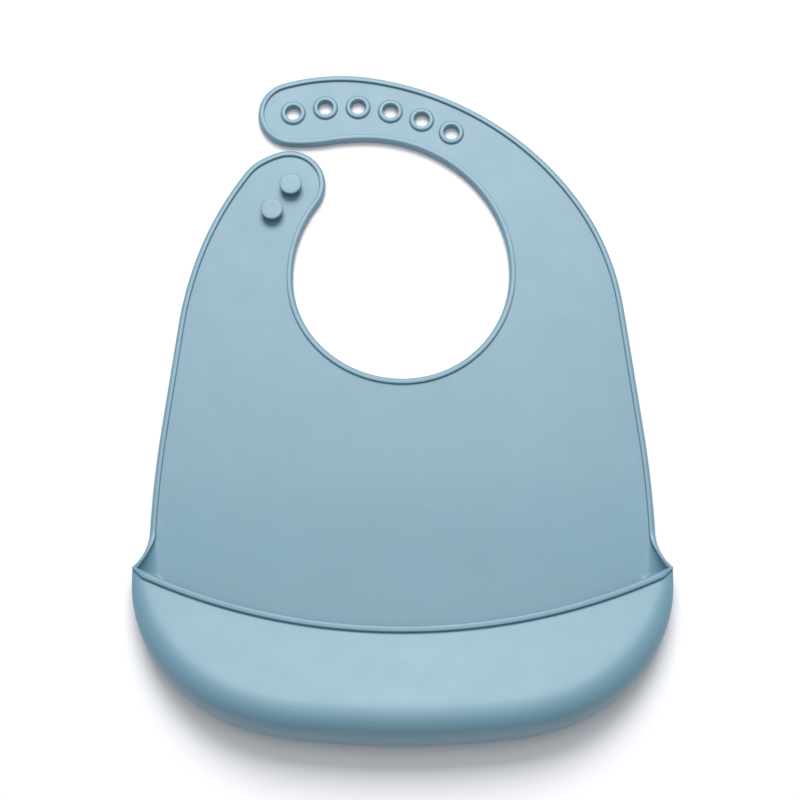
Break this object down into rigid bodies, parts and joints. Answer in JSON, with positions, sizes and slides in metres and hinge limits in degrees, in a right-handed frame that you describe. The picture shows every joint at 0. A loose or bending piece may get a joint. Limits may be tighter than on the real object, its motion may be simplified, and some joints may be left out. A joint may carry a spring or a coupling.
{
  "type": "silicone bib",
  "caption": "Feeding bib moulded in soft silicone: flat chest panel with a beaded edge, neck strap with a row of eyelets, stud tab and a deep catch pocket.",
  "frame": {"origin": "middle of the outline in plan, on the surface that the bib lies on", "axes": "+Z out of the bib's front face, +Y from the catch pocket to the neck strap, +X to the right seen from the front"},
  "size_m": [0.2276, 0.3065, 0.0285],
  "materials": {
    "sheet_silicone": "matte silicone, faintly dusty",
    "bead_silicone": "matte silicone, rounded mould edge",
    "pocket_silicone": "matte silicone, slightly thicker wall",
    "eyelet_silicone": "matte silicone, rounded rim",
    "stud_silicone": "matte silicone, flat cap"
  },
  "bodies": {
    "pocket_and_lower_panel": {"lower_panel": "sheet_silicone", "pocket_back": "pocket_silicone", "corner_gusset_left": "sheet_silicone", "corner_gusset_right": "sheet_silicone", "lower_bead_left": "bead_silicone", "lower_bead_right": "bead_silicone"},
    "upper_panel": {"upper_panel": "sheet_silicone", "chest_bead_left": "bead_silicone", "chest_bead_right": "bead_silicone", "neck_bead": "bead_silicone"},
    "strap_root": {"strap_web_1": "sheet_silicone", "strap_inner_bead_1": "bead_silicone", "strap_outer_bead_1": "bead_silicone", "eyelet_6": "eyelet_silicone"},
    "strap_middle": {"strap_web_2": "sheet_silicone", "strap_inner_bead_2": "bead_silicone", "strap_outer_bead_2": "bead_silicone", "eyelet_3": "eyelet_silicone", "eyelet_4": "eyelet_silicone", "eyelet_5": "eyelet_silicone"},
    "strap_end": {"strap_web_3": "sheet_silicone", "strap_end_bead": "bead_silicone", "eyelet_1": "eyelet_silicone", "eyelet_2": "eyelet_silicone"},
    "stud_tab": {"tab_web": "sheet_silicone", "tab_bead": "bead_silicone", "upper_stud": "stud_silicone", "lower_stud": "stud_silicone"},
    "pocket_front": {"pocket_roll": "pocket_silicone", "front_wall": "pocket_silicone", "lip_bead": "bead_silicone"}
  },
  "joints": [
    {"name": "panel_fold", "type": "hinge", "parent": "pocket_and_lower_panel", "child": "upper_panel", "pos_m": [0, -0.02, 0.004], "axis": [1, 0, 0], "range_deg": [0, 110], "stiffness_Nm_per_rad": 0.01},
    {"name": "strap_bend_1", "type": "hinge", "parent": "upper_panel", "child": "strap_root", "pos_m": [0.0507, 0.10023, 0.004], "axis": [0.7856, 0.6187, 0], "range_deg": [0, 40], "stiffness_Nm_per_rad": 0.002},
    {"name": "strap_bend_2", "type": "hinge", "parent": "strap_root", "child": "strap_middle", "pos_m": [0.01578, 0.12804, 0.004], "axis": [0.4274, 0.904, 0], "range_deg": [0, 40], "stiffness_Nm_per_rad": 0.002},
    {"name": "strap_bend_3", "type": "hinge", "parent": "strap_middle", "child": "strap_end", "pos_m": [-0.02788, 0.13738, 0.004], "axis": [-0.0203, 0.9998, 0], "range_deg": [0, 40], "stiffness_Nm_per_rad": 0.002},
    {"name": "tab_bend", "type": "hinge", "parent": "upper_panel", "child": "stud_tab", "pos_m": [-0.06891, 0.07095, 0.004], "axis": [0.9744, -0.225, 0], "range_deg": [0, 50], "stiffness_Nm_per_rad": 0.002},
    {"name": "pocket_open", "type": "hinge", "parent": "pocket_and_lower_panel", "child": "pocket_front", "pos_m": [0, -0.1535, 0.01215], "axis": [1, 0, 0], "range_deg": [0, 16], "stiffness_Nm_per_rad": 0.05}
  ],
  "couplings": [
    {"joint": "strap_bend_2", "follows": "strap_bend_1", "ratio": 1},
    {"joint": "strap_bend_3", "follows": "strap_bend_1", "ratio": 1}
  ]
}
